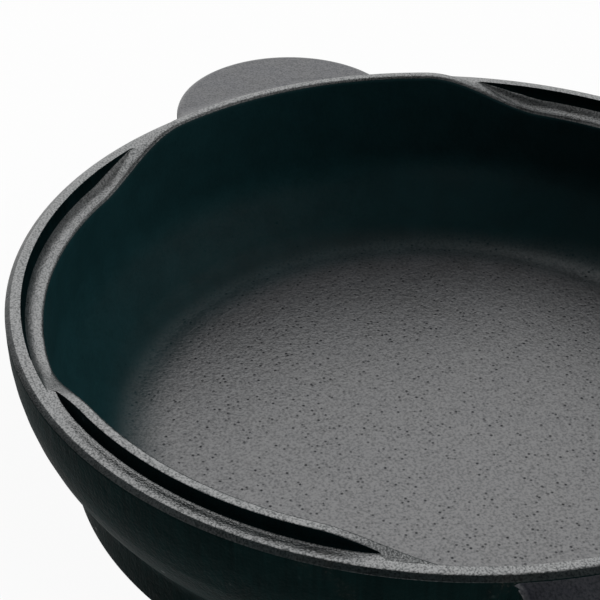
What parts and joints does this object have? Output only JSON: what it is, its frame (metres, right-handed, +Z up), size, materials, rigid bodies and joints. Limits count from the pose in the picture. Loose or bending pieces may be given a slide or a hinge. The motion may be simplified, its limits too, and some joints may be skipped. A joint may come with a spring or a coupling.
{
  "type": "cast iron pot",
  "caption": "Shallow round cast iron pot with a flat base, flared wall, round tab ears and a rim whose inner edge waves between raised lips and low lid ledges.",
  "frame": {"origin": "centre of the flat underside", "axes": "+Z up, out of the pot's mouth; X runs through both ears"},
  "size_m": [0.34, 0.2634, 0.0646],
  "materials": {
    "bowl_iron": "seasoned black, satin, with a fine grain and small pits",
    "rim_iron": "black sand-cast skin, satin, coarser grain, a little rubbed on its edges"
  },
  "bodies": {
    "root": {"base_plate": "bowl_iron", "lower_wall": "bowl_iron", "upper_wall": "bowl_iron", "rim_ring": "rim_iron", "raised_lip_1": "rim_iron", "raised_lip_2": "rim_iron", "raised_lip_3": "rim_iron", "lid_ledge_1": "rim_iron", "lid_ledge_2": "rim_iron", "lid_ledge_3": "rim_iron", "ear_handle_1": "rim_iron", "ear_handle_2": "rim_iron"}
  },
  "joints": []
}
